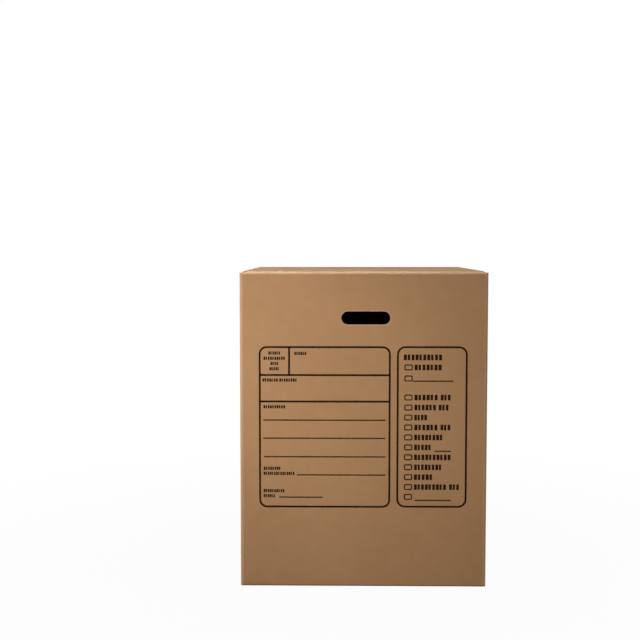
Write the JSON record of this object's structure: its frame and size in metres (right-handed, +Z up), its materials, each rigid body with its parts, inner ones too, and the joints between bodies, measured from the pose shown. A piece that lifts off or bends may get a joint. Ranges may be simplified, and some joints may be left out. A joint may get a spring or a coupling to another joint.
{
  "type": "corrugated moving carton",
  "caption": "Square-based corrugated moving carton, folded shut, with stadium hand holes in the front and rear walls and outer top flaps that swing open at their creases.",
  "frame": {"origin": "middle of the underside, on the floor", "axes": "+Z up, the printed front wall faces -Y, +X to the right as the front is seen"},
  "size_m": [0.465, 0.465, 0.5988],
  "materials": {
    "wall_kraft": "brown kraft liner, matte",
    "flap_kraft": "brown kraft liner, matte, with fluted free edge"
  },
  "bodies": {
    "carton": {"carton_body": "wall_kraft"},
    "front_flap": {"front_top_flap": "flap_kraft"},
    "rear_flap": {"rear_top_flap": "flap_kraft"}
  },
  "joints": [
    {"name": "front_flap_crease", "type": "hinge", "parent": "carton", "child": "front_flap", "pos_m": [0, -0.2325, 0.5988], "axis": [1, 0, 0], "range_deg": [0, 265]},
    {"name": "rear_flap_crease", "type": "hinge", "parent": "carton", "child": "rear_flap", "pos_m": [0, 0.2325, 0.5988], "axis": [-1, 0, 0], "range_deg": [0, 265]}
  ]
}
